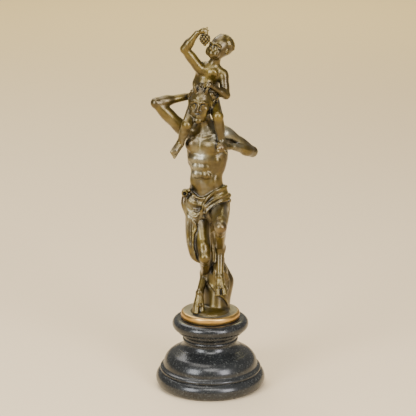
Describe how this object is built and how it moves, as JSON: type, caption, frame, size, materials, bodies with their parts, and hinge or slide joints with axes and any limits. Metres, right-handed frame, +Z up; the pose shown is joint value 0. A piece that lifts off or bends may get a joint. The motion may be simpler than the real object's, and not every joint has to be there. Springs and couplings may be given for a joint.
{
  "type": "bronze statue of a faun with a child on his shoulders",
  "caption": "Small cast bronze group on a turned black marble socle: a dancing faun with a cloth round his hips carries a child who holds up a bunch of grapes.",
  "frame": {"origin": "centre of the socle's underside, which stands on the surface", "axes": "+Z up, +X to the right of someone who faces the statue, -Y towards that person"},
  "size_m": [0.1276, 0.1244, 0.4091],
  "materials": {
    "bronze": "golden brown patinated bronze, worn bright on the high places and dark in the hollows, polished on the terrace's rim",
    "black_marble": "polished black marble with faint grey clouding"
  },
  "bodies": {
    "root": {"faun_and_child": "bronze", "socle": "black_marble"}
  },
  "joints": []
}
